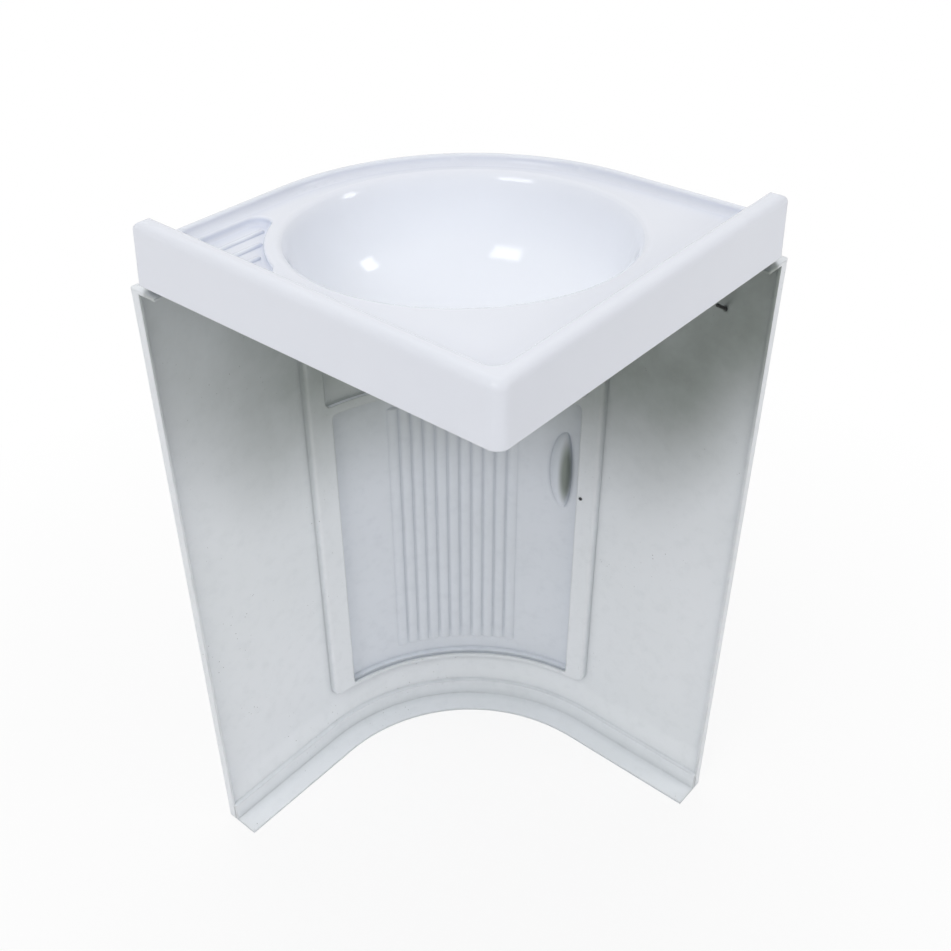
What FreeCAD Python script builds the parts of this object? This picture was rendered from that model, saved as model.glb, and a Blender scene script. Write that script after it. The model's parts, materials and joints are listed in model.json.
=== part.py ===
import FreeCAD, Part
import math
import os

# Corner vanity basin on a hollow corner pedestal with a curved hinged door.
# Millimetres, +Z up, floor at Z = 0.  The room corner is at +Y, the curved front faces -Y.
#
# Working frame: the origin is on the axis of the front curve, x runs along the left-hand wall
# and y along the right-hand wall (both away from the room corner), so a wing that is square to
# a wall is straight and the front between the wings is a quarter turn about the z axis.
# Angles run from x (0) to y (90).  "settle" turns the finished pieces into the room frame.

V = FreeCAD.Vector

# ---------------------------------------------------------------- pedestal
wall_side = 463.5            # pedestal length along each wall
front_radius = 277.5         # outer face of the quarter-round front
pedestal_height = 800.0
pedestal_skin = 3.0          # formed sheet
ledge_width = 40.0           # inward ledge that carries the basin
floor_flange_reach = 52.0    # inner edge of the floor flange, in from the front face
plinth_setback = 16.5        # plinth face, in from the front face
plinth_height = 25.0
plinth_step = 6.5            # narrow ledge over the plinth
cove_height = 30.0
cove_setback = 10.0
end_flange_width = 15.0      # strip turned in along each wall
end_flange_round = 5.0       # outside round of that strip
end_flange_cove = 8.0        # inside round of that strip

# ---------------------------------------------------------------- door bay
bay_depth = 10.5             # land, in from the front face
bay_low_angle, bay_high_angle = 3.2, 86.1
bay_bottom, bay_top = 73.0, 760.0
bay_corner = 12.0
bay_soft_edge = 4.5
opening_low_angle, opening_high_angle = 8.6, 79.4
opening_bottom, opening_top = 78.0, 540.0
opening_corner = 6.0
fascia_bottom, fascia_top = 553.0, 742.0      # blind panel above the door
fascia_low_angle, fascia_high_angle = 7.2, 81.2
fascia_rise = 7.0
fascia_corner = 8.0
fascia_soft_edge = 2.5

# ---------------------------------------------------------------- door
door_skin = 2.5
door_stand_off = 3.3         # rim of the door, off the land
door_depth = 10.0            # rim to outer face
door_low_angle, door_high_angle = 6.0, 82.0
door_bottom, door_top = 75.0, 546.0
tray_inset_angle = 2.3       # lip beside the tray, as an angle
tray_bottom, tray_top = 78.0, 540.0
door_corner = 6.0
tray_corner = 9.0
tray_soft_edge = 6.0
flute_count = 11
flute_pitch_angle = 3.25
flute_first_angle = 28.4
flute_depth = 3.0
flute_radius = 8.5
flute_bottom, flute_top = 104.0, 514.0        # before the tapered ends
pull_angle = 13.6
pull_height = 425.0
pull_half_length = 58.0
pull_depth = 12.0
pull_gentle, pull_steep = 19.0, 7.0

# ---------------------------------------------------------------- hinge
hinge_bottom, hinge_top = 96.0, 526.0
knuckle_count = 9
knuckle_radius = 2.6
knuckle_land_gap = 0.45
knuckle_gap = 0.4
hinge_pin_radius = 1.0
hinge_pin_fit = 0.08
hinge_pin_head = 0.8
hinge_pin_head_radius = 1.8
leaf_thickness = 1.2
leaf_width = 13.0
hinge_edge_gap = 0.5         # knuckle to the edge of the door

# ---------------------------------------------------------------- catch and buffers
catch_height = 399.0
strike_length = 29.0
strike_thickness = 1.0
strike_low_angle, strike_high_angle = 6.2, 8.9
rivet_angle = 7.3
rivet_radius = 1.6
rivet_head_radius, rivet_head_height = 2.4, 0.7
magnet_thickness = 1.7
buffer_radius = 4.0
buffer_thickness = 2.8
buffer_angle = 7.3
buffer_heights = (110.0, 515.0)

# ---------------------------------------------------------------- basin
basin_skin = 3.0
basin_setback_low = 18.5     # skirt, in from the pedestal face at its foot
basin_setback_high = 26.5    # and at the top of the upstand
apron_lift = 8.0             # wall aprons stop this far above the pedestal
apron_trim = 9.0             # and are trimmed back this far from the wall
rim_height = 51.5            # front rim, above the pedestal
deck_drop = 10.5             # deck, below the front rim
rim_width = 7.0
rim_round = 3.0
deck_round = 7.0             # where the deck turns up to the rim and the upstand
deck_corner = 12.0
upstand_height = 76.0        # ends of the upstand, above the pedestal
upstand_fall = 6.0           # its top is this much lower in the room corner
upstand_thickness = 21.0
upstand_round = 8.5
room_corner_round = 12.0
bowl_half_width = 180.0
bowl_half_length = 157.0
bowl_from_corner = 334.0     # bowl centre, from the room corner
bowl_depth = 135.0
bowl_lip_round = 9.0
dish_from_edge = 17.0        # soap dish, in from the skirt
dish_from_upstand = 14.0
dish_leg = 132.0
dish_from_bowl = 13.0        # its third side follows the bowl
dish_depth = 9.0
dish_lip_round = 2.5
dish_corner = 11.0
dish_kink_round = 15.0       # where the third side leaves the bowl's curve
dish_soft_edge = 4.0
dish_rib_count = 3
dish_rib_radius = 3.0

# ---------------------------------------------------------------- waste outlet
waste_bore_radius = 18.0     # hole in the bowl
waste_tail_radius = 17.0     # threaded part
waste_spigot_radius = 14.25  # hose spigot
waste_wall = 2.0
waste_tail_length = 32.0
waste_spigot_length = 30.0
flange_radius = 29.0
flange_thickness = 2.5
flange_crown = 1.5
grid_hole_radius = 3.2
grid_circle_radius = 9.0
grid_hole_count = 6
gasket_thickness = 1.5
seal_thickness = 2.5
seal_radius = 28.0
back_nut_flats = 46.0
back_nut_height = 10.0

# ---------------------------------------------------------------- fixings
block_angles = (18.0, 45.0, 72.0)
block_width, block_depth, block_height = 28.0, 14.0, 22.0
block_screw_length = 17.0
screw_radius = 2.0
screw_hole_clearance = 0.3
screw_head_radius = 4.0
screw_head_height = 2.4
side_screw_from_wall = 60.0  # where it leaves the wing, from the wall
side_screw_below_top = 78.0  # of the pedestal
side_screw_length = 30.0
side_screw_rise = 32.0       # degrees above level

# ---------------------------------------------------------------- worked out from the above
arc_to_wall = wall_side - front_radius
face_radius = front_radius
inner_radius = front_radius - pedestal_skin
land_outer = front_radius - bay_depth
land_inner = land_outer - pedestal_skin
door_rim_radius = land_outer + door_stand_off
door_face_radius = door_rim_radius + door_depth
corner_to_axis = arc_to_wall * math.sqrt(2)
back_reach = corner_to_axis - room_corner_round * (math.sqrt(2) - 1)
axis_y = (door_face_radius - back_reach) / 2
deck_z = pedestal_height + rim_height - deck_drop
rim_z = pedestal_height + rim_height
upstand_z = pedestal_height + upstand_height
bowl_floor = deck_z - bowl_depth
hinge_radius = land_outer + knuckle_radius + knuckle_land_gap
hinge_angle = door_high_angle + math.degrees((knuckle_radius + hinge_edge_gap) / hinge_radius)
side_screw_height = pedestal_height - side_screw_below_top


def settle(shape):
    """Turn a piece from the working frame into the room frame."""
    shape = shape.Solids[0] if len(shape.Solids) == 1 else Part.makeCompound(shape.Solids)
    shape.rotate(V(0, 0, 0), V(0, 0, 1), -135)
    shape.translate(V(0, axis_y, 0))
    return shape


def polar(radius, angle, z=0.0):
    a = math.radians(angle)
    return V(radius * math.cos(a), radius * math.sin(a), z)


def arc_degrees(length, radius):
    return math.degrees(length / radius)


def rounded_path(points, radii):
    """Edges through the points (x, z) in the plane y = 0, with a tangent arc at each bend with a radius."""
    edges = []
    start = V(points[0][0], 0, points[0][1])
    for index in range(1, len(points) - 1):
        corner = V(points[index][0], 0, points[index][1])
        to_last = (V(points[index - 1][0], 0, points[index - 1][1]) - corner).normalize()
        to_next = (V(points[index + 1][0], 0, points[index + 1][1]) - corner).normalize()
        half = to_last.getAngle(to_next) / 2
        radius = radii[index - 1]
        if not radius:
            edges.append(Part.LineSegment(start, corner).toShape())
            start = corner
            continue
        run = radius / math.tan(half)
        first, last = corner + to_last * run, corner + to_next * run
        bisector = (to_last + to_next).normalize()
        centre = corner + bisector * (radius / math.sin(half))
        middle = centre - bisector * radius
        edges.append(Part.LineSegment(start, first).toShape())
        edges.append(Part.Arc(first, middle, last).toShape())
        start = last
    end = V(points[-1][0], 0, points[-1][1])
    edges.append(Part.LineSegment(start, end).toShape())
    return edges


def offset_points(points, distance):
    """The same bends, moved to the right of the direction of travel."""
    moved = []
    for index, (px, pz) in enumerate(points):
        normals = []
        for near in (index - 1, index):
            if 0 <= near < len(points) - 1:
                dx = points[near + 1][0] - points[near][0]
                dz = points[near + 1][1] - points[near][1]
                size = math.hypot(dx, dz)
                normals.append((dz / size, -dx / size))
        nx = sum(n[0] for n in normals) / len(normals)
        nz = sum(n[1] for n in normals) / len(normals)
        scale = distance / (nx * nx + nz * nz)
        moved.append((px + nx * scale, pz + nz * scale))
    return moved


def sheet_section(points, radii, thickness):
    """Section of a bent sheet: the points are its inner face, the sheet lies to their right."""
    outer = offset_points(points, thickness)
    outer_radii = []
    for index in range(1, len(points) - 1):
        ax, az = points[index][0] - points[index - 1][0], points[index][1] - points[index - 1][1]
        bx, bz = points[index + 1][0] - points[index][0], points[index + 1][1] - points[index][1]
        turn = 1 if ax * bz - az * bx > 0 else -1
        outer_radii.append(radii[index - 1] and radii[index - 1] + turn * thickness)
    edges = rounded_path(points, radii) + rounded_path(outer, outer_radii)
    for a, b in ((points[0], outer[0]), (points[-1], outer[-1])):
        edges.append(Part.LineSegment(V(a[0], 0, a[1]), V(b[0], 0, b[1])).toShape())
    return Part.Face(Part.Wire(Part.__sortEdges__(edges)))


def along_front(section):
    """Carry an upright section along one wing, round the front and along the other wing."""
    first = section.extrude(V(0, -arc_to_wall, 0))
    bend = section.revolve(V(0, 0, 0), V(0, 0, 1), 90)
    turned = section.copy()
    turned.rotate(V(0, 0, 0), V(0, 0, 1), 90)
    last = turned.extrude(V(-arc_to_wall, 0, 0))
    return first.multiFuse([bend, last]).removeSplitter()


def radial_edges(solid):
    picked = []
    for edge in solid.Edges:
        a, b = edge.Vertexes[0].Point, edge.Vertexes[-1].Point
        if isinstance(edge.Curve, Part.Line) and abs(a.z - b.z) < 1e-6:
            picked.append(edge)
    return picked


def edges_at_radius(solid, radius):
    return [edge for edge in solid.Edges
            if all(abs(math.hypot(v.X, v.Y) - radius) < 1e-4 for v in edge.Vertexes)]


def sector(r0, r1, angle0, angle1, z0, z1, corner=0.0, soft_radius=None, soft=0.0):
    """A block bent about the front axis; its four corners and one face's rim can be rounded."""
    outline = Part.makePolygon([V(r0, 0, z0), V(r1, 0, z0), V(r1, 0, z1), V(r0, 0, z1), V(r0, 0, z0)])
    solid = Part.Face(outline).revolve(V(0, 0, 0), V(0, 0, 1), angle1 - angle0)
    if corner:
        solid = solid.makeFillet(corner, radial_edges(solid))
    if soft:
        solid = solid.makeFillet(soft, edges_at_radius(solid, soft_radius))
    solid.rotate(V(0, 0, 0), V(0, 0, 1), angle0)
    return solid


# ================================================================ pedestal
def end_strip():
    """The strip turned in along a wall, with its rounded bend into the wing."""
    wall = -arc_to_wall
    tip = face_radius - end_flange_width
    r_out, r_in, t = end_flange_round, end_flange_cove, pedestal_skin
    outer_mid = V(face_radius - r_out + r_out * math.sqrt(0.5), wall + r_out - r_out * math.sqrt(0.5), 0)
    cove_x, cove_y = inner_radius - r_in, wall + t + r_in
    inner_mid = V(cove_x + r_in * math.sqrt(0.5), cove_y - r_in * math.sqrt(0.5), 0)
    edges = [
        Part.LineSegment(V(tip, wall, 0), V(face_radius - r_out, wall, 0)).toShape(),
        Part.Arc(V(face_radius - r_out, wall, 0), outer_mid, V(face_radius, wall + r_out, 0)).toShape(),
        Part.LineSegment(V(face_radius, wall + r_out, 0), V(face_radius, cove_y, 0)).toShape(),
        Part.LineSegment(V(face_radius, cove_y, 0), V(inner_radius, cove_y, 0)).toShape(),
        Part.Arc(V(inner_radius, cove_y, 0), inner_mid, V(cove_x, wall + t, 0)).toShape(),
        Part.LineSegment(V(cove_x, wall + t, 0), V(tip, wall + t, 0)).toShape(),
        Part.LineSegment(V(tip, wall + t, 0), V(tip, wall, 0)).toShape(),
    ]
    return Part.Face(Part.Wire(edges)).extrude(V(0, 0, pedestal_height))


def end_corner_cut():
    """What rounds the outside corner of a wing where it meets the wall."""
    wall, r = -arc_to_wall, end_flange_round
    centre = V(face_radius - r, wall + r, 0)
    block = Part.makeBox(r + 1, r + 1, pedestal_height + 2, V(face_radius - r, wall - 1, -1))
    post = Part.makeCylinder(r, pedestal_height + 2, centre - V(0, 0, 1))
    return block.cut(post)


def mirrored(shape):
    """The same piece on the other wing."""
    return shape.mirror(V(0, 0, 0), V(1, -1, 0))


def pedestal_shell():
    t = pedestal_skin
    plinth_inner = face_radius - plinth_setback - t
    points = [
        (face_radius - floor_flange_reach, t),
        (plinth_inner, t),
        (plinth_inner, plinth_height + t),
        (plinth_inner + plinth_step, plinth_height + t),
        (inner_radius, plinth_height + t + cove_height),
        (inner_radius, pedestal_height - t),
        (face_radius - ledge_width, pedestal_height - t),
    ]
    radii = [0, 0, 0, cove_height, 2.0]
    shell = along_front(sheet_section(points, radii, t))
    strip, cut = end_strip(), end_corner_cut()
    shell = shell.multiFuse([strip, mirrored(strip)])
    shell = shell.cut(cut).cut(mirrored(cut))
    land_degrees = arc_degrees(t, land_outer)
    bay_body = sector(land_inner, face_radius, bay_low_angle - land_degrees, bay_high_angle + land_degrees,
                      bay_bottom - t, bay_top + t, bay_corner + t, land_inner, bay_soft_edge)
    bay_hollow = sector(land_outer, face_radius + 5, bay_low_angle, bay_high_angle,
                        bay_bottom, bay_top, bay_corner)
    shell = shell.fuse(bay_body).cut(bay_hollow)
    fascia_degrees = arc_degrees(t, land_outer)
    fascia_body = sector(land_inner + t / 2, land_outer + fascia_rise,
                         fascia_low_angle - fascia_degrees, fascia_high_angle + fascia_degrees,
                         fascia_bottom - t, fascia_top + t, fascia_corner + t)
    fascia_hollow = sector(land_inner - 5, land_inner + fascia_rise, fascia_low_angle, fascia_high_angle,
                           fascia_bottom, fascia_top, fascia_corner, land_inner + fascia_rise,
                           fascia_soft_edge)
    shell = shell.fuse(fascia_body).cut(fascia_hollow)
    opening = sector(land_inner - 5, land_outer + 5, opening_low_angle, opening_high_angle,
                     opening_bottom, opening_top, opening_corner)
    rivet_hole = radial_cylinder(rivet_radius + 0.1, land_inner - 5, land_outer + 5, rivet_angle, catch_height)
    shell = shell.cut(opening).cut(rivet_hole)
    for angle in block_angles:
        place = polar(block_screw_radius(), angle, pedestal_height - 2 * pedestal_skin)
        shell = shell.cut(Part.makeCylinder(screw_radius + screw_hole_clearance, 3 * pedestal_skin, place))
    return shell.cut(side_screw_hole()).removeSplitter()


def radial_cylinder(radius, r0, r1, angle, z):
    """A round bar that points away from the front axis."""
    direction = polar(1, angle)
    return Part.makeCylinder(radius, r1 - r0, polar(r0, angle, z), direction)


# ================================================================ door
def tapered_bar(radius, z0, z1):
    """An upright round bar with tapered ends, centred on the z axis."""
    outline = Part.makePolygon([V(0, 0, z0 - radius), V(radius, 0, z0), V(radius, 0, z1), V(0, 0, z1 + radius),
                                V(0, 0, z0 - radius)])
    return Part.Face(outline).revolve(V(0, 0, 0), V(0, 0, 1), 360)


def pull_form(grow):
    """Finger pull: a lens that rises gently on one side and falls steeply on the other."""
    halves = []
    for start, reach in ((0, pull_gentle), (180, pull_steep)):
        half = Part.makeSphere(1.0, V(0, 0, 0), V(0, 0, 1), -90, 90, 180)
        half.rotate(V(0, 0, 0), V(0, 0, 1), start)
        stretch = FreeCAD.Matrix()
        stretch.scale(pull_depth + grow, reach + grow, pull_half_length + grow)
        halves.append(half.transformGeometry(stretch))
    lens = halves[0].fuse(halves[1])
    return lens


def pull_placed(grow):
    """The finger pull seated in the face of the door; its gentle side is towards the hinge."""
    lens = pull_form(grow)
    lens.rotate(V(0, 0, 0), V(0, 0, 1), pull_angle)
    lens.translate(polar(door_face_radius, pull_angle, pull_height))
    return lens


def door_panel():
    t = door_skin
    tray_low, tray_high = door_low_angle + tray_inset_angle, door_high_angle - tray_inset_angle
    lip = sector(door_rim_radius, door_rim_radius + t, door_low_angle, door_high_angle,
                 door_bottom, door_top, door_corner)
    tray = sector(door_rim_radius, door_face_radius, tray_low, tray_high, tray_bottom, tray_top,
                  tray_corner, door_face_radius, tray_soft_edge)
    side_degrees = arc_degrees(t, door_face_radius)
    hollow = sector(door_rim_radius - 5, door_face_radius - t, tray_low + side_degrees,
                    tray_high - side_degrees, tray_bottom + t, tray_top - t, tray_corner - t)
    flute_axis = door_face_radius + flute_radius - flute_depth
    reeds, flutes = [], []
    for index in range(flute_count):
        place = polar(flute_axis, flute_first_angle + index * flute_pitch_angle)
        reed = tapered_bar(flute_radius + t, flute_bottom, flute_top)
        flute = tapered_bar(flute_radius, flute_bottom, flute_top)
        reed.translate(place)
        flute.translate(place)
        reeds.append(reed)
        flutes.append(flute)
    outside = sector(door_face_radius, door_face_radius + 3 * flute_radius, 0, 90, 0, pedestal_height)
    panel = tray.fuse(lip).cut(hollow)
    inner_forms = reeds + [pull_placed(t)]
    panel = panel.multiFuse(inner_forms).cut(outside)
    panel = panel.cut(Part.makeCompound(flutes)).cut(pull_placed(0))
    return panel


# ================================================================ hinge
def knuckle_spans(first):
    pitch = (hinge_top - hinge_bottom) / knuckle_count
    for index in range(first, knuckle_count, 2):
        z0 = hinge_bottom + index * pitch + knuckle_gap / 2
        yield z0, z0 + pitch - knuckle_gap


def hinge_leaf(first, inner, outer, away):
    """One leaf and its knuckles.  "away" is +1 for the leaf beyond the pin, -1 for the door's."""
    clear = arc_degrees(knuckle_radius + knuckle_gap, hinge_radius)
    reach = arc_degrees(leaf_width, hinge_radius)
    near, far = hinge_angle + away * clear, hinge_angle + away * reach
    leaf = sector(inner, outer, min(near, far), max(near, far), hinge_bottom, hinge_top)
    pieces = []
    for z0, z1 in knuckle_spans(first):
        pieces.append(Part.makeCylinder(knuckle_radius, z1 - z0, polar(hinge_radius, hinge_angle, z0)))
        pieces.append(sector(inner, outer, min(hinge_angle, near), max(hinge_angle, near), z0, z1))
    bore = Part.makeCylinder(hinge_pin_radius + hinge_pin_fit, hinge_top - hinge_bottom,
                             polar(hinge_radius, hinge_angle, hinge_bottom))
    return leaf.multiFuse(pieces).cut(bore).removeSplitter()


def hinge_frame_leaf():
    return hinge_leaf(0, land_outer, land_outer + leaf_thickness, 1)


def hinge_door_leaf():
    return hinge_leaf(1, door_rim_radius - leaf_thickness, door_rim_radius, -1)


def hinge_pin():
    """Headed pin that hangs from the top knuckle; its other end is spread."""
    base = polar(hinge_radius, hinge_angle, hinge_bottom)
    top = polar(hinge_radius, hinge_angle, hinge_top - knuckle_gap / 2)
    pin = Part.makeCylinder(hinge_pin_radius, hinge_top - hinge_bottom - knuckle_gap / 2, base)
    foot = Part.makeCylinder(hinge_pin_head_radius, hinge_pin_head, base - V(0, 0, hinge_pin_head))
    head = Part.makeCylinder(hinge_pin_head_radius, hinge_pin_head, top)
    return pin.multiFuse([foot, head]).removeSplitter()


# ================================================================ catch and buffers
def strike_plate():
    plate = sector(land_outer, land_outer + strike_thickness, strike_low_angle, strike_high_angle,
                   catch_height - strike_length / 2, catch_height + strike_length / 2, 1.5)
    hole = radial_cylinder(rivet_radius + 0.1, land_outer - 1, land_outer + 5, rivet_angle, catch_height)
    return plate.cut(hole)


def strike_rivet():
    shank_end = land_outer + strike_thickness
    shank = radial_cylinder(rivet_radius, land_inner, shank_end, rivet_angle, catch_height)
    tail = radial_cylinder(rivet_head_radius, land_inner - rivet_head_height, land_inner, rivet_angle, catch_height)
    head = radial_cylinder(rivet_head_radius, shank_end, shank_end + rivet_head_height / 2, rivet_angle, catch_height)
    return shank.multiFuse([tail, head]).removeSplitter()


def door_magnet():
    """A strip on the back of the lip, in two pads either side of the rivet."""
    pads = []
    for side in (-1, 1):
        low = catch_height + side * strike_length / 4 - strike_length / 6
        pads.append(sector(door_rim_radius - magnet_thickness, door_rim_radius, strike_low_angle + 0.1,
                           strike_high_angle - 0.6, low, low + strike_length / 3, 1.0))
    return Part.makeCompound(pads)


def door_buffers():
    pads = []
    for z in buffer_heights:
        pad = radial_cylinder(buffer_radius, land_outer - 1, land_outer + buffer_thickness, buffer_angle, z)
        pads.append(pad.cut(sector(land_outer - 6, land_outer, 0, 90, z - 20, z + 20)))
    return Part.makeCompound(pads)


# ================================================================ basin
def setback_at(z):
    share = (z - pedestal_height) / upstand_height
    return basin_setback_low + share * (basin_setback_high - basin_setback_low)


def drafted_block(inset, z0, z1):
    """The basin's plan with the skirt's draft: square to both walls, the front corner a cone."""
    r0, r1 = (face_radius - setback_at(z) - inset for z in (z0, z1))
    section = Part.Face(Part.makePolygon([V(0, 0, z0), V(r0, 0, z0), V(r1, 0, z1), V(0, 0, z1), V(0, 0, z0)]))
    corner = Part.makeBox(arc_to_wall, arc_to_wall, z1 - z0, V(-arc_to_wall, -arc_to_wall, z0))
    return along_front(section).fuse(corner).removeSplitter()


def upright_edge(solid, x, y, reach=0.5):
    """The upright edge of a block at x, y."""
    return [edge for edge in solid.Edges
            if abs(edge.Vertexes[0].Z - edge.Vertexes[-1].Z) > 1
            and math.hypot(edge.CenterOfMass.x - x, edge.CenterOfMass.y - y) < reach]


def above_upstand(drop):
    """What trims the top of the upstand to its fall towards the room corner."""
    size, wall = 3 * wall_side, -arc_to_wall
    run = face_radius - basin_setback_high - wall + upstand_thickness / 2
    tilt = math.degrees(math.atan(upstand_fall / run * math.sqrt(2)))
    low = upstand_z - upstand_fall - drop
    block = Part.makeBox(size, size, size, V(wall - 100, wall - 100, low))
    block.rotate(V(wall, wall, low), V(1, -1, 0), tilt)
    return block


def picked_edges(solid, test):
    return [edge for edge in solid.Edges if test(edge.CenterOfMass, edge)]


def bowl_centre(z):
    along = (bowl_from_corner - corner_to_axis) * math.sqrt(0.5)
    return V(along, along, z)


def oval(grow, share, z):
    """The bowl's oval plan, a share of its full size, lying across the room corner."""
    ring = Part.Ellipse(V(0, 0, 0), bowl_half_width * share + grow, bowl_half_length * share + grow).toShape()
    ring.rotate(V(0, 0, 0), V(0, 0, 1), -45)
    ring.translate(bowl_centre(z))
    return Part.Wire([ring])


def bowl_form(grow):
    """The bowl's hollow, or the outside of its skin, lofted down from the deck to a flat floor."""
    levels = [(1.0, 0.0), (0.972, 0.035), (0.945, 0.12), (0.92, 0.25), (0.88, 0.43),
              (0.80, 0.64), (0.66, 0.82), (0.45, 0.94), (0.22, 1.0)]
    ovals = [oval(grow, share, deck_z - depth * bowl_depth - grow) for share, depth in levels]
    return Part.makeLoft(ovals, True, False)


def bowl_cup(t):
    """The skin of the bowl, with a rim that stands in the deck's hole."""
    rim = Part.Face(oval(t, 1.0, deck_z - t)).extrude(V(0, 0, t))
    return rim.fuse(bowl_form(t)).cut(bowl_form(0))


def dish_form(grow, depth):
    """Soap dish between the skirt, the upstand and the bowl: a rounded triangle that follows the bowl."""
    far = face_radius - setback_at(deck_z) - dish_from_edge + grow
    side = -arc_to_wall + upstand_thickness + dish_from_upstand - grow
    leg = dish_leg + grow * (2 + math.sqrt(2))
    outline = Part.makePolygon([V(side, far, deck_z), V(side + leg, far, deck_z),
                                V(side, far - leg, deck_z), V(side, far, deck_z)])
    dish = Part.Face(outline).extrude(V(0, 0, -depth))
    corners = [(side, far), (side + leg, far), (side, far - leg)]
    upright = [edge for x, y in corners for edge in upright_edge(dish, x, y)]
    dish = dish.makeFillet(dish_corner + grow, upright)
    beyond_bowl = Part.Face(oval(dish_from_bowl - grow, 1.0, deck_z + 1)).extrude(V(0, 0, -depth - 2))
    kept = [(v.X, v.Y) for v in dish.Vertexes]
    dish = dish.cut(beyond_bowl)
    kinks = [edge for edge in dish.Edges
             if abs(edge.Vertexes[0].Z - edge.Vertexes[-1].Z) > 1
             and all(math.hypot(edge.Vertexes[0].X - x, edge.Vertexes[0].Y - y) > 0.5 for x, y in kept)]
    dish = dish.makeFillet(dish_kink_round, kinks)
    if grow:
        return dish
    floor_edges = picked_edges(dish, lambda c, e: abs(c.z - (deck_z - depth)) < 1e-6)
    return dish.makeFillet(dish_soft_edge, floor_edges)


def dish_ribs():
    """Low half-round bars on the floor of the soap dish."""
    far = face_radius - setback_at(deck_z) - dish_from_edge
    side = -arc_to_wall + upstand_thickness + dish_from_upstand
    pitch = dish_leg / (dish_rib_count + 3.2)
    ribs = []
    for index in range(1, dish_rib_count + 1):
        length = dish_leg - index * pitch - 2.7 * dish_corner
        base = V(side + dish_soft_edge + dish_rib_radius, far - index * pitch, deck_z - dish_depth)
        ribs.append(Part.makeCylinder(dish_rib_radius, length, base, V(1, 0, 0)))
        for end, way in ((base, -1), (base + V(length, 0, 0), 1)):
            ribs.append(Part.makeCone(dish_rib_radius, 0, dish_rib_radius, end, V(way, 0, 0)))
    below = Part.makeBox(400, 400, 50, V(side - 100, far - 300, deck_z - dish_depth - 50))
    return Part.makeCompound(ribs).cut(below)


def basin_outside():
    """Everything the basin is seen as from above and outside, still solid underneath."""
    low, wall = pedestal_height, -arc_to_wall
    solid = drafted_block(0, low, upstand_z + 2)
    step = wall + upstand_thickness
    size = 2 * wall_side
    quarter = Part.makeBox(size, size, size, V(step, step, deck_z - 1))
    quarter = quarter.makeFillet(deck_corner, upright_edge(quarter, step, step))
    recess = drafted_block(rim_width, deck_z, upstand_z + 10).common(quarter)
    recess = recess.makeFillet(deck_round, picked_edges(recess, lambda c, e: abs(c.z - deck_z) < 1e-4))
    over_rim = quarter.translated(V(0, 0, rim_z - deck_z + 1))
    solid = solid.cut(above_upstand(0)).cut(over_rim).cut(recess).removeSplitter()
    return solid.makeFillet(room_corner_round, upright_edge(solid, wall, wall))


def soften_outside(solid):
    """Rounds on the upstand and the rim."""
    top = above_upstand(0)
    edges = picked_edges(solid, lambda c, e: c.z > rim_z + 5 and top.distToShape(Part.Vertex(c))[0] < 0.05)
    solid = solid.makeFillet(upstand_round, edges)
    step = -arc_to_wall + upstand_thickness
    rim = picked_edges(solid, lambda c, e: abs(c.z - rim_z) < 1e-4 and min(abs(c.x - step), abs(c.y - step)) > 1e-3)
    return solid.makeFillet(rim_round, rim)


def basin_inside(t):
    """The hollow under the basin, one sheet thickness inside."""
    low, wall = pedestal_height - 1, -arc_to_wall + t
    size = 2 * wall_side
    quarter = Part.makeBox(size, size, size, V(wall, wall, low))
    quarter = quarter.makeFillet(room_corner_round - t, upright_edge(quarter, wall, wall))
    hollow = drafted_block(t, low, deck_z - t).common(quarter)
    raised = drafted_block(t, low, upstand_z).common(quarter).cut(above_upstand(t))
    step = -arc_to_wall + upstand_thickness - t
    raised = raised.cut(Part.makeBox(size, size, size, V(step, step, low)))
    return hollow.fuse(raised)


def apron_trims():
    """What lifts the foot of the two wall aprons clear of the pedestal."""
    wall, low = -arc_to_wall - 1, pedestal_height - 1
    along = Part.makeBox(2 * wall_side, apron_trim + 1, apron_lift + 1, V(wall, wall, low))
    return along, mirrored(along)


def beside_bowl(point):
    """Whether a point of the deck's edges belongs to the soap dish: clear of the rim and the upstand."""
    margin = 5
    return (point.x > -arc_to_wall + upstand_thickness + margin + deck_round / 2
            and point.y < face_radius - setback_at(deck_z) - rim_width - margin - deck_round / 2)


def basin_moulding():
    t = basin_skin
    inside = basin_inside(t).cut(dish_form(t, dish_depth + t))
    shell = soften_outside(basin_outside()).cut(inside).cut(dish_form(0, dish_depth))
    deck_hole = Part.Face(oval(t, 1.0, deck_z - 3 * t)).extrude(V(0, 0, 6 * t))
    shell = shell.cut(deck_hole).fuse(bowl_cup(t)).removeSplitter().Solids[0]
    around_bowl = picked_edges(shell, lambda c, e: (c - bowl_centre(deck_z)).Length < bowl_half_length / 2)
    around_dish = picked_edges(shell, lambda c, e: abs(c.z - deck_z) < 1e-4 and c.x < 0 < c.y and beside_bowl(c))
    shell = shell.makeFillet(bowl_lip_round, [edge for edge in around_bowl if abs(edge.CenterOfMass.z - deck_z) < 1e-3])
    shell = shell.makeFillet(dish_lip_round, around_dish)
    bore = Part.makeCylinder(waste_bore_radius, 8 * t, bowl_centre(bowl_floor - 4 * t))
    shell = shell.cut(bore).fuse(dish_ribs())
    for trim in apron_trims():
        shell = shell.cut(trim)
    return shell


# ================================================================ waste outlet
def spun(points):
    """A solid turned about the bowl's upright centre line, from (radius, z) points."""
    outline = Part.makePolygon([V(r, 0, z) for r, z in points] + [V(points[0][0], 0, points[0][1])])
    solid = Part.Face(outline).revolve(V(0, 0, 0), V(0, 0, 1), 360)
    solid.translate(bowl_centre(0))
    return solid


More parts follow.
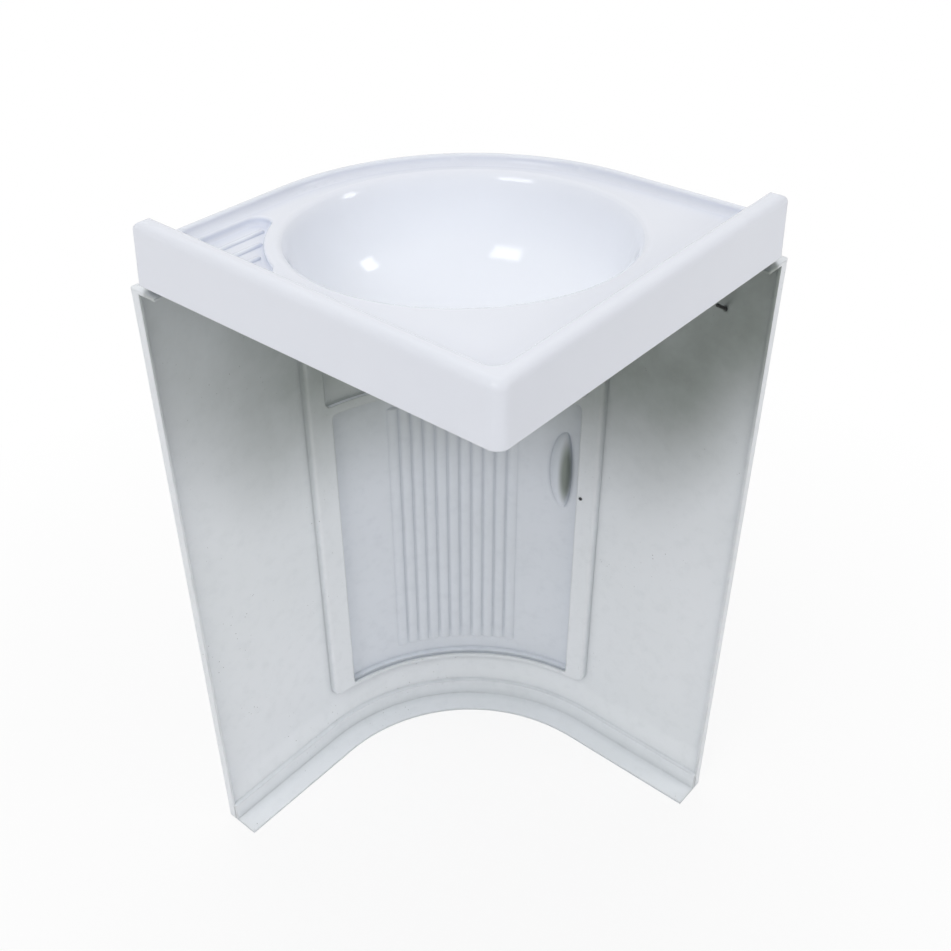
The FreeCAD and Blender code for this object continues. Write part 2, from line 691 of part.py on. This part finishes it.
def waste_body():
    seat = bowl_floor + gasket_thickness
    rim = seat + flange_thickness
    tail_end = bowl_floor - waste_tail_length
    spigot_end = tail_end - waste_spigot_length
    outside = [(0, rim + flange_crown * 0.2), (waste_tail_radius, rim + flange_crown * 0.2),
               (waste_tail_radius + 4, rim + flange_crown * 0.4), (flange_radius - 1.5, rim - 0.6),
               (flange_radius, seat + 0.6), (flange_radius, seat), (waste_tail_radius, seat),
               (waste_tail_radius, tail_end), (waste_spigot_radius, tail_end - 2),
               (waste_spigot_radius, spigot_end), (0, spigot_end)]
    body = spun(outside)
    bore = spun([(0, seat + 0.5), (waste_tail_radius - waste_wall, seat + 0.5),
                 (waste_tail_radius - waste_wall, tail_end + 1), (waste_spigot_radius - waste_wall, tail_end - 3),
                 (waste_spigot_radius - waste_wall, spigot_end - 1), (0, spigot_end - 1)])
    body = body.cut(bore)
    holes = [Part.makeCylinder(grid_hole_radius, 20, bowl_centre(seat - 2))]
    for index in range(grid_hole_count):
        place = polar(grid_circle_radius, index * 360 / grid_hole_count) + bowl_centre(seat - 2)
        holes.append(Part.makeCylinder(grid_hole_radius * 0.8, 20, place))
    return body.cut(Part.makeCompound(holes))


def flange_gasket():
    low, high = bowl_floor, bowl_floor + gasket_thickness
    return spun([(waste_tail_radius, low), (flange_radius - 0.5, low), (flange_radius - 0.5, high),
                 (waste_tail_radius, high)])


def waste_seal():
    high = bowl_floor - basin_skin
    low = high - seal_thickness
    return spun([(waste_tail_radius, low), (seal_radius, low), (seal_radius, high), (waste_tail_radius, high)])


def back_nut():
    top = bowl_floor - basin_skin - seal_thickness
    across = back_nut_flats / math.sqrt(3)
    corners = [polar(across, 60 * k) for k in range(7)]
    nut = Part.Face(Part.makePolygon(corners)).extrude(V(0, 0, back_nut_height))
    nut.translate(bowl_centre(top - back_nut_height))
    r = across
    trim = spun([(0, top - back_nut_height), (r - 2, top - back_nut_height), (r, top - back_nut_height + 2),
                 (r, top), (0, top)])
    hole = Part.makeCylinder(waste_tail_radius, back_nut_height + 2, bowl_centre(top - back_nut_height - 1))
    return nut.common(trim).cut(hole)


# ================================================================ fixings
def block_outer_radius():
    return face_radius - basin_setback_low - basin_skin


def block_screw_radius():
    return block_outer_radius() - block_depth / 2 - 1


def fixing_blocks():
    """Blocks bonded to the back of the skirt, standing on the ledge."""
    half = arc_degrees(block_width / 2, block_outer_radius())
    inside_skirt = drafted_block(basin_skin, pedestal_height, pedestal_height + block_height)
    blocks = []
    for angle in block_angles:
        block = sector(block_outer_radius() - block_depth, face_radius, angle - half, angle + half,
                       pedestal_height, pedestal_height + block_height)
        pilot = Part.makeCylinder(screw_radius, block_screw_length, polar(block_screw_radius(), angle, pedestal_height))
        blocks.append(block.common(inside_skirt).cut(pilot))
    return Part.makeCompound(blocks)


def screw_along(base, direction, length):
    """A pan-head screw: base is under the head, the point is at the far end."""
    point = 1.5 * screw_radius
    shank = Part.makeCylinder(screw_radius, length - point, base, direction)
    tip = Part.makeCone(screw_radius, 0.3, point, base + direction * (length - point), direction)
    head = Part.makeCone(screw_head_radius, screw_head_radius * 0.75, screw_head_height, base, direction * -1)
    return shank.multiFuse([tip, head])


def block_screws():
    under = pedestal_height - pedestal_skin
    return Part.makeCompound([
        screw_along(polar(block_screw_radius(), angle, under), V(0, 0, 1), block_screw_length + pedestal_skin)
        for angle in block_angles])


def side_screw_axis():
    """Where the side screw crosses the wing's outer face, and the way it points."""
    a = math.radians(side_screw_rise)
    return V(face_radius, -arc_to_wall + side_screw_from_wall, side_screw_height), V(-math.cos(a), 0, math.sin(a))


def side_screw_hole():
    base, direction = side_screw_axis()
    radius = screw_radius + screw_hole_clearance
    return Part.makeCylinder(radius, 4 * pedestal_skin, base - direction * (2 * pedestal_skin), direction)


def side_screw():
    base, direction = side_screw_axis()
    stand = screw_head_radius * math.tan(math.radians(side_screw_rise))
    return screw_along(base - direction * stand, direction, side_screw_length + stand)


pieces = {
    "pedestal_shell": pedestal_shell,
    "basin_moulding": basin_moulding,
    "waste_body": waste_body,
    "flange_gasket": flange_gasket,
    "waste_seal": waste_seal,
    "waste_back_nut": back_nut,
    "fixing_blocks": fixing_blocks,
    "block_screws": block_screws,
    "side_screw": side_screw,
    "hinge_frame_leaf": hinge_frame_leaf,
    "strike_plate": strike_plate,
    "strike_rivet": strike_rivet,
    "door_buffers": door_buffers,
    "door_panel": door_panel,
    "hinge_door_leaf": hinge_door_leaf,
    "hinge_pin": hinge_pin,
    "door_magnet": door_magnet,
}

os.makedirs("parts", exist_ok=True)
for name, build in pieces.items():
    settle(build()).exportStep(f"parts/{name}.step")
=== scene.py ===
import json
import math

import bpy
from mathutils import Matrix, Vector

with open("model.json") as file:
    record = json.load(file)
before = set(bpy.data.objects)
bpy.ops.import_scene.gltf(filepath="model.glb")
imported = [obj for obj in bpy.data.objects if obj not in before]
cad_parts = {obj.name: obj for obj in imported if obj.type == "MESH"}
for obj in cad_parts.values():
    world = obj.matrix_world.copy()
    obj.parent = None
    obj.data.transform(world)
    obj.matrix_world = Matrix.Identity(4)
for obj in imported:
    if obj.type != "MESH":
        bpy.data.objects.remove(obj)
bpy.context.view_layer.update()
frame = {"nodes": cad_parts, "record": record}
nodes = frame["nodes"]
print("frame loaded:", len(nodes), "nodes")

mm = 0.001                      # lengths are metres unless they are written with mm

shared = {
    "edgeSamples": 4,
    "hollowSamples": 6,
    "clouds": (0.3, 0.7),       # most of a noise lies between these two
    "smears": (0.35, 0.7),
}


# Every finish is procedural and lies in object space, so it stays put from any side.

def newMaterial(name):
    material = bpy.data.materials.new(name)
    material.use_nodes = True
    tree = material.node_tree
    tree.nodes.clear()
    out = tree.nodes.new("ShaderNodeOutputMaterial")
    shader = tree.nodes.new("ShaderNodeBsdfPrincipled")
    tree.links.new(shader.outputs["BSDF"], out.inputs["Surface"])
    return material, tree, shader


def node(tree, kind, **values):
    made = tree.nodes.new("ShaderNode" + kind)
    for key, value in values.items():
        if key in made.inputs:
            made.inputs[key].default_value = value
        else:
            setattr(made, key, value)
    return made


def feed(tree, sockets, values):        # a number or a place is set, a node's output is linked
    for socket, value in zip(sockets, values):
        if isinstance(value, (int, float, tuple)):
            socket.default_value = value
        else:
            tree.links.new(value, socket)


def maths(tree, operation, first, second=0.0):
    made = node(tree, "Math", operation=operation)
    feed(tree, made.inputs, (first, second))
    return made.outputs["Value"]


def vectorMaths(tree, operation, first, second=(0, 0, 0)):
    made = node(tree, "VectorMath", operation=operation)
    feed(tree, made.inputs, (first, second))
    return made.outputs["Value" if operation in ("DOT_PRODUCT", "LENGTH") else "Vector"]


def mapped(tree, value, within, onto, course="SMOOTHSTEP"):
    made = node(tree, "MapRange", interpolation_type=course)
    for key, number in zip(("From Min", "From Max", "To Min", "To Max"), within + onto):
        made.inputs[key].default_value = number
    tree.links.new(value, made.inputs["Value"])
    return made.outputs["Result"]


def ramp(tree, value, within, onto):    # between two colours or two shares
    made = node(tree, "ValToRGB")
    for element, place, colour in zip(made.color_ramp.elements, within, onto):
        element.position = place
        shade = colour if isinstance(colour, tuple) else (colour,) * 3
        element.color = (*shade, 1)
    tree.links.new(value, made.inputs["Fac"])
    return made.outputs["Color"]


def objectPoint(tree, stretch=(1, 1, 1)):
    place = node(tree, "TexCoord")
    mapping = node(tree, "Mapping", Scale=stretch)
    tree.links.new(place.outputs["Object"], mapping.inputs["Vector"])
    return mapping.outputs["Vector"]


def apart(tree, point):
    made = node(tree, "SeparateXYZ")
    tree.links.new(point, made.inputs["Vector"])
    return tuple(made.outputs[key] for key in "XYZ")


def noise(tree, point, perMetre, detail, rough=0.5):
    made = node(tree, "TexNoise", Scale=perMetre, Detail=detail, Roughness=rough)
    tree.links.new(point, made.inputs["Vector"])
    return made.outputs["Fac"]


def tinted(tree, share, clean, tint):
    made = node(tree, "MixRGB", Color2=(*tint, 1))
    tree.links.new(share, made.inputs["Fac"])
    tree.links.new(clean, made.inputs["Color1"])
    return made.outputs["Color"]


def hollowShade(tree, reach, openness, share):      # painted shade: its share in the creases, none in the open
    around = node(tree, "AmbientOcclusion", samples=shared["hollowSamples"], Distance=reach)
    return ramp(tree, around.outputs["AO"], openness, (share, 0.0))


def softEdges(tree, radius):
    return node(tree, "Bevel", samples=shared["edgeSamples"], Radius=radius).outputs["Normal"]


def bump(tree, shader, height, depth, before):
    made = node(tree, "Bump", Strength=1.0, Distance=depth)
    tree.links.new(height, made.inputs["Height"])
    tree.links.new(before, made.inputs["Normal"])
    tree.links.new(made.outputs["Normal"], shader.inputs["Normal"])
    return made.outputs["Normal"]


def awayFrom(tree, point, place, reach):        # 0 at the place, 1 on an ellipsoid round it
    offset = vectorMaths(tree, "SUBTRACT", point, place)
    return vectorMaths(tree, "LENGTH", vectorMaths(tree, "DIVIDE", offset, reach))


def darker(colour, share):
    return tuple(part * share for part in colour)


# A noise is written as how many to the metre, its detail and, where it matters, its roughness.

gelcoat = {
    "colour": (0.83, 0.853, 0.915),
    "cloudColour": (0.81, 0.835, 0.90),
    "cloud": (7.0, 3),
    # painted light: the bowl is coloured lighter and bluer than the deck
    "bowlPaintedLight": (0.895, 0.92, 0.97),
    "bowlMiddle": (0.0, -0.06, 0.8),
    "bowlReach": (0.18, 0.157, 1.0),
    "bowlFade": (0.82, 1.04),       # of that reach
    "shade": (0.62, 0.67, 0.80),    # painted shade: cooler and darker in the dish, the cove and round the bowl's lip
    "shadeReach": 16 * mm,
    "shadeOpenness": (0.45, 0.95),
    "shadeShare": 0.8,
    "smear": (45, 5, 0.6),
    "rough": (0.06, 0.13),
    "wave": (28.0, 1),              # the slow unevenness that bends reflections
    "waveDepth": 0.10 * mm,
    "peel": (380.0, 2),
    "peelDepth": 0.008 * mm,
    "edge": 1.5 * mm,
    "ior": 1.5,
}


def makeGelcoat(name, finish):
    material, tree, shader = newMaterial(name)
    point = objectPoint(tree)
    cloud = noise(tree, point, *finish["cloud"])
    colour = ramp(tree, cloud, shared["clouds"], (finish["cloudColour"], finish["colour"]))
    # painted light inside the bowl, fading out towards its rim
    away = awayFrom(tree, point, finish["bowlMiddle"], finish["bowlReach"])
    bowl = mapped(tree, away, finish["bowlFade"], (1.0, 0.0))
    colour = tinted(tree, bowl, colour, finish["bowlPaintedLight"])
    # painted shade in the hollows, from ambient occlusion
    paintedShade = hollowShade(tree, finish["shadeReach"], finish["shadeOpenness"], finish["shadeShare"])
    tree.links.new(tinted(tree, paintedShade, colour, finish["shade"]), shader.inputs["Base Color"])

    smear = ramp(tree, noise(tree, point, *finish["smear"]), shared["smears"], finish["rough"])
    tree.links.new(smear, shader.inputs["Roughness"])
    wave = noise(tree, point, *finish["wave"])
    waves = bump(tree, shader, wave, finish["waveDepth"], softEdges(tree, finish["edge"]))
    bump(tree, shader, noise(tree, point, *finish["peel"]), finish["peelDepth"], waves)
    shader.inputs["IOR"].default_value = finish["ior"]
    return material


sheet = {
    "colour": (0.86, 0.885, 0.915),
    "cloudColour": (0.83, 0.86, 0.88),
    "cloud": (4.0, 3),
    # tint of the mottling, and the colour of the painted shade in the creases
    "tint": (0.44, 0.48, 0.50),
    "mottleNoise": (55.0, 6, 0.65),
    "mottleWithin": (0.5, 0.75),
    "mottle": 0.11,                 # how much of the tint the mottling brings
    "speck": (0.20, 0.21, 0.19),
    "specksPerMetre": 130.0,
    "speckReach": 0.10,             # of the spacing between specks
    "speckCore": 0.6,               # of that reach, dark all over
    "patch": (12, 2),               # specks lie in patches
    "patchWithin": (0.52, 0.66),
    "patchShare": 0.8,
    "dampAndShadeColour": (0.17, 0.20, 0.165),
    "dampAndShade": 0.90,                   # greener and darker inside, under the basin: a damp stain and painted shade
    "dampHeights": (0.55, 0.80),
    "dampFront": 0.18,              # hangs this much lower at the curved front
    "frontWithin": (0.0, -0.15),    # along Y
    "dampAcross": (-0.15, 0.25),    # X and Y together: less damp stain and painted shade at the dish's wing
    "dampShares": (1.0, 0.55),
    "blotch": (9, 5, 0.65),
    "blotchShares": (0.8, 1.0),
    "insideMiddle": (0.0, 0.15, 0.0),
    "insideFacing": (0.0, 0.06),    # clean outside; damp stain and painted shade on what faces that middle
    "ledgeTop": (0.7955, 0.797),    # the ledge gets the damp stain and painted shade too, short of its free ends
    "ledgeEnds": (0.309, 0.314),
    "creaseReach": 14 * mm,
    "creaseOpenness": (0.45, 0.96),
    "creaseShade": 0.28,                 # how much painted shade lies in the creases
    "scuff": (70, 5, 0.6),
    "rough": (0.32, 0.5),
    "wave": (14.0, 1),
    "waveDepth": 0.5 * mm,
    "grain": (900.0, 3),
    "grainDepth": 0.03 * mm,
    "edge": 3.2 * mm,
    "ior": 1.48,
}

doorSheet = {
    **sheet,
    "colour": (0.80, 0.835, 0.89),
    "cloudColour": (0.77, 0.805, 0.85),
    # tint of the mottling, and the colour of the painted shade in the creases
    "tint": (0.36, 0.40, 0.46),
    "speckReach": 0.06,
    "creaseReach": 6 * mm,
    "creaseShade": 0.85,
    "footLessShade": (0.10, 0.13),      # heights: less painted shade in the creases below, at the door's lower lip
    "footShares": (0.2, 1.0),
    "edge": 1.6 * mm,
    "pullShade": (-0.1445, -0.2165, 0.427),        # painted shade on the steep side of the finger pull, seen from inside
    "pullShadeReach": (0.0125, 0.016, 0.064),
    "pullShadeFade": (0.35, 1.0),      # of that reach
    "pullShadeShare": 0.9,
}


# damp stain and painted shade under the basin, on the inside faces
def dampAndShadeMask(tree, point, finish):
    x, y, z = apart(tree, point)
    hang = mapped(tree, y, finish["frontWithin"], (0.0, finish["dampFront"]))
    rise = mapped(tree, maths(tree, "ADD", z, hang), finish["dampHeights"], (0.0, finish["dampAndShade"]))
    side = mapped(tree, maths(tree, "ADD", x, y), finish["dampAcross"], finish["dampShares"])

    inward = vectorMaths(tree, "SUBTRACT", finish["insideMiddle"], point)
    level = vectorMaths(tree, "MULTIPLY", inward, (1, 1, 0))
    facing = vectorMaths(tree, "DOT_PRODUCT", level, node(tree, "TexCoord").outputs["Normal"])
    inside = mapped(tree, facing, finish["insideFacing"], (0.0, 1.0))
    top = mapped(tree, z, finish["ledgeTop"], (0.0, 1.0))
    short = mapped(tree, maths(tree, "ABSOLUTE", x), finish["ledgeEnds"], (1.0, 0.0))
    inside = maths(tree, "MAXIMUM", inside, maths(tree, "MULTIPLY", top, short))

    blotch = ramp(tree, noise(tree, point, *finish["blotch"]), shared["clouds"], finish["blotchShares"])
    risen = maths(tree, "MULTIPLY", rise, side)
    return maths(tree, "MULTIPLY", risen, maths(tree, "MULTIPLY", inside, blotch))


def specks(tree, point, finish):
    cells = node(tree, "TexVoronoi", feature="F1", Scale=finish["specksPerMetre"])
    tree.links.new(point, cells.inputs["Vector"])
    reach = finish["speckReach"]
    spot = ramp(tree, cells.outputs["Distance"], (reach * finish["speckCore"], reach), (1.0, 0.0))
    patch = noise(tree, point, *finish["patch"])
    patch = ramp(tree, patch, finish["patchWithin"], (0.0, finish["patchShare"]))
    return maths(tree, "MULTIPLY", spot, patch)


def makeSheet(name, finish):
    material, tree, shader = newMaterial(name)
    point = objectPoint(tree)
    cloud = noise(tree, point, *finish["cloud"])
    colour = ramp(tree, cloud, shared["clouds"], (finish["cloudColour"], finish["colour"]))
    mottle = noise(tree, point, *finish["mottleNoise"])
    mottle = ramp(tree, mottle, finish["mottleWithin"], (0.0, finish["mottle"]))
    colour = tinted(tree, mottle, colour, finish["tint"])
    colour = tinted(tree, specks(tree, point, finish), colour, finish["speck"])
    # damp stain and painted shade under the basin
    colour = tinted(tree, dampAndShadeMask(tree, point, finish), colour, finish["dampAndShadeColour"])

    if "pullShade" in finish:
        # painted shade at the finger pull
        away = awayFrom(tree, point, finish["pullShade"], finish["pullShadeReach"])
        pullShade = mapped(tree, away, finish["pullShadeFade"], (finish["pullShadeShare"], 0.0))
        colour = tinted(tree, pullShade, colour, finish["dampAndShadeColour"])

    # painted shade in the creases, from ambient occlusion
    creaseShade = hollowShade(tree, finish["creaseReach"], finish["creaseOpenness"], finish["creaseShade"])
    # less painted crease shade at the door's foot
    if "footLessShade" in finish:
        height = apart(tree, point)[2]
        foot = mapped(tree, height, finish["footLessShade"], finish["footShares"])
        creaseShade = maths(tree, "MULTIPLY", creaseShade, foot)
    colour = tinted(tree, creaseShade, colour, finish["tint"])
    tree.links.new(colour, shader.inputs["Base Color"])

    scuff = ramp(tree, noise(tree, point, *finish["scuff"]), shared["smears"], finish["rough"])
    tree.links.new(scuff, shader.inputs["Roughness"])
    wave = noise(tree, point, *finish["wave"])
    waves = bump(tree, shader, wave, finish["waveDepth"], softEdges(tree, finish["edge"]))
    bump(tree, shader, noise(tree, point, *finish["grain"]), finish["grainDepth"], waves)
    shader.inputs["IOR"].default_value = finish["ior"]
    return material


plastic = {
    "cloud": (40, 3),
    "cloudShade": 0.94,             # of the colour
    "grain": (300, 3),
    "grainDepth": 0.02 * mm,
    "roughShares": (0.85, 1.15),    # of each piece's own roughness
    "edge": 0.3 * mm,
}


def plainPlastic(name, colour, rough, grainDepth=plastic["grainDepth"]):
    material, tree, shader = newMaterial(name)
    point = objectPoint(tree)
    cloud = noise(tree, point, *plastic["cloud"])
    colour = ramp(tree, cloud, shared["clouds"], (darker(colour, plastic["cloudShade"]), colour))
    tree.links.new(colour, shader.inputs["Base Color"])
    grain = noise(tree, point, *plastic["grain"])
    spread = tuple(rough * share for share in plastic["roughShares"])
    tree.links.new(ramp(tree, grain, shared["clouds"], spread), shader.inputs["Roughness"])
    bump(tree, shader, grain, grainDepth, softEdges(tree, plastic["edge"]))
    return material


plated = {
    "stretch": (1, 1, 0.05),        # the drawn grain runs upward
    "grain": (2500, 3),
    "grainShade": 0.85,             # of the colour
    "grainDepth": 0.01 * mm,
    "roughShares": (0.8, 1.3),
    "edge": 0.2 * mm,
}


def platedMetal(name, colour, rough):
    material, tree, shader = newMaterial(name)
    point = objectPoint(tree, plated["stretch"])
    grain = noise(tree, point, *plated["grain"])
    colour = ramp(tree, grain, shared["clouds"], (darker(colour, plated["grainShade"]), colour))
    tree.links.new(colour, shader.inputs["Base Color"])
    spread = tuple(rough * share for share in plated["roughShares"])
    tree.links.new(ramp(tree, grain, shared["clouds"], spread), shader.inputs["Roughness"])
    bump(tree, shader, grain, plated["grainDepth"], softEdges(tree, plated["edge"]))
    shader.inputs["Metallic"].default_value = 1.0
    return material


finishes = {
    "basin": makeGelcoat("basinGelcoat", gelcoat),
    "pedestal": makeSheet("pedestalSheet", sheet),
    "door": makeSheet("doorSheet", doorSheet),
    "waste": plainPlastic("wastePlastic", (0.76, 0.77, 0.78), rough=0.22),
    "seal": plainPlastic("sealRubber", (0.03, 0.03, 0.03), rough=0.7),
    "buffer": plainPlastic("bufferRubber", (0.45, 0.45, 0.44), rough=0.6),
    "block": plainPlastic("blockPlastic", (0.66, 0.65, 0.60), rough=0.6, grainDepth=0.1 * mm),
    "screw": platedMetal("screwZinc", (0.62, 0.62, 0.60), rough=0.3),
    "side_screw": plainPlastic("screwBlack", (0.015, 0.015, 0.015), rough=0.4),
    "hinge": plainPlastic("hingePlastic", (0.72, 0.74, 0.75), rough=0.35),
    "pin": platedMetal("pinSteel", (0.60, 0.60, 0.60), rough=0.25),
    "strike": platedMetal("strikeBlackened", (0.07, 0.07, 0.075), rough=0.45),
    "magnet": plainPlastic("magnetStrip", (0.05, 0.045, 0.04), rough=0.6),
}

for part in frame["record"]["subparts"]:
    carried = nodes[part["node"]]
    carried.data.materials.clear()
    carried.data.materials.append(finishes[part["material_slot"]])
print("finishes on", len(nodes), "nodes")


floorSet = {
    "size": 30.0,
    "colour": (0.80, 0.80, 0.80),
    "underColour": (0.86, 0.86, 0.87),          # what the floor sends back up at the object
    "rough": 0.9,
    "glow": 0.86,                   # share of plain white the camera sees near the object
    "fade": (0.45, 1.3),            # between these the floor turns to plain white
}


def mixedShader(tree, share, first, second):
    mix = node(tree, "MixShader")
    feed(tree, mix.inputs, (share, first, second))
    return mix.outputs["Shader"]


def makeFloor():
    half = floorSet["size"] / 2
    corners = [(-half, -half, 0), (half, -half, 0), (half, half, 0), (-half, half, 0)]
    mesh = bpy.data.meshes.new("floor")
    mesh.from_pydata(corners, [], [(0, 1, 2, 3)])
    floor = bpy.data.objects.new("floor", mesh)
    bpy.context.scene.collection.objects.link(floor)

    material, tree, shader = newMaterial("floorPale")
    shader.inputs["Roughness"].default_value = floorSet["rough"]
    path = node(tree, "LightPath")
    bounced = node(tree, "MixRGB", Color1=(*floorSet["colour"], 1), Color2=(*floorSet["underColour"], 1))
    tree.links.new(path.outputs["Is Diffuse Ray"], bounced.inputs["Fac"])
    tree.links.new(bounced.outputs["Color"], shader.inputs["Base Color"])
    away = vectorMaths(tree, "LENGTH", objectPoint(tree))
    spread = mapped(tree, away, floorSet["fade"], (floorSet["glow"], 1.0), "LINEAR")
    seen = maths(tree, "MAXIMUM", path.outputs["Is Camera Ray"], path.outputs["Is Glossy Ray"])
    glow = node(tree, "Emission", Strength=1.0)
    share = maths(tree, "MULTIPLY", seen, spread)
    both = mixedShader(tree, share, shader.outputs["BSDF"], glow.outputs["Emission"])
    out = next(made for made in tree.nodes if made.type == "OUTPUT_MATERIAL")
    tree.links.new(both, out.inputs["Surface"])
    mesh.materials.append(material)


studio = {
    "even": 0.04,                   # light from every side
    "mirrored": 0.72,               # what gloss sees of the white around
    "soft": [                       # broad soft lights: turn from +Y to +X, height, width, strength
        (-60, 30, 62, 1.25),
        (60, 30, 62, 0.9),
        (30, 60, 62, 2.5),
        (-20, 8, 106, 0.38),
        (180, 65, 106, 0.45),
        (180, 25, 130, 1.0),        # for the curved front
    ],
}


def softLight(tree, way, turn, height, width, full):
    turn, height = math.radians(turn), math.radians(height)
    toward = (math.sin(turn) * math.cos(height), math.cos(turn) * math.cos(height), math.sin(height))
    along = vectorMaths(tree, "DOT_PRODUCT", way, toward)
    return mapped(tree, along, (math.cos(math.radians(width / 2)), 1.0), (0.0, full))


def makeWorld():
    world = bpy.data.worlds.new("studio")
    bpy.context.scene.world = world
    world.use_nodes = True
    tree = world.node_tree
    tree.nodes.clear()
    out = tree.nodes.new("ShaderNodeOutputWorld")
    way = node(tree, "TexCoord").outputs["Generated"]
    strength = studio["even"]
    for light in studio["soft"]:
        strength = maths(tree, "ADD", strength, softLight(tree, way, *light))
    lit = node(tree, "Background", Color=(1, 1, 1, 1))
    tree.links.new(strength, lit.inputs["Strength"])

    path = node(tree, "LightPath")      # the camera sees plain white, and gloss a little less
    dimmed = maths(tree, "MULTIPLY", path.outputs["Is Glossy Ray"], 1 - studio["mirrored"])
    seen = node(tree, "Background", Color=(1, 1, 1, 1))
    tree.links.new(maths(tree, "SUBTRACT", 1.0, dimmed), seen.inputs["Strength"])
    either = maths(tree, "MAXIMUM", path.outputs["Is Camera Ray"], path.outputs["Is Glossy Ray"])
    clear = maths(tree, "MAXIMUM", either, path.outputs["Is Transmission Ray"])
    both = mixedShader(tree, clear, lit.outputs["Background"], seen.outputs["Background"])
    tree.links.new(both, out.inputs["Surface"])


lamps = {
    "windowLeft": {
        "place": (0.913, 1.204, 1.83),
        "aim": (-0.057, -0.178, 0.759),
        "size": (0.62, 0.50),
        "watts": 4.4,
    },
    "windowRight": {
        "place": (-1.63, 0.49, 1.55),
        "aim": (0.093, -0.162, 0.763),
        "size": (0.36, 0.40),
        "watts": 2.6,
    },
}


def makeLamp(name, lamp):
    data = bpy.data.lights.new(name, "AREA")
    data.shape = "RECTANGLE"
    data.size, data.size_y = lamp["size"]
    data.energy = lamp["watts"]
    made = bpy.data.objects.new(name, data)
    made.location = lamp["place"]
    toward = Vector(lamp["aim"]) - Vector(lamp["place"])
    made.rotation_euler = toward.to_track_quat("-Z", "Y").to_euler()
    bpy.context.scene.collection.objects.link(made)


makeFloor()
makeWorld()
for name, lamp in lamps.items():
    makeLamp(name, lamp)
print("floor and light")


camera = {
    "place": (0.0843, 0.9968, 1.3194),
    "yaw": 0.0622,                  # from looking straight at the front, turned to -X
    "pitch": 0.6250,                # below level
    "roll": -0.0164,
    "lens": 44.35,                  # lens and sensor are millimetres
    "sensor": 36,
    "shift": (0.0290, -0.0056),
    "clip": (0.05, 50),
}


def makeCamera():
    data = bpy.data.cameras.new("camera")
    data.sensor_width = camera["sensor"]
    data.lens = camera["lens"]
    data.shift_x, data.shift_y = camera["shift"]
    data.clip_start, data.clip_end = camera["clip"]
    made = bpy.data.objects.new("camera", data)
    turn = (Matrix.Rotation(math.pi - camera["yaw"], 4, "Z")
            @ Matrix.Rotation(math.pi / 2 - camera["pitch"], 4, "X")
            @ Matrix.Rotation(camera["roll"], 4, "Z"))
    made.matrix_world = Matrix.Translation(camera["place"]) @ turn
    bpy.context.scene.collection.objects.link(made)
    bpy.context.scene.camera = made


makeCamera()
bpy.context.scene.view_settings.view_transform = "Standard"
print("camera")
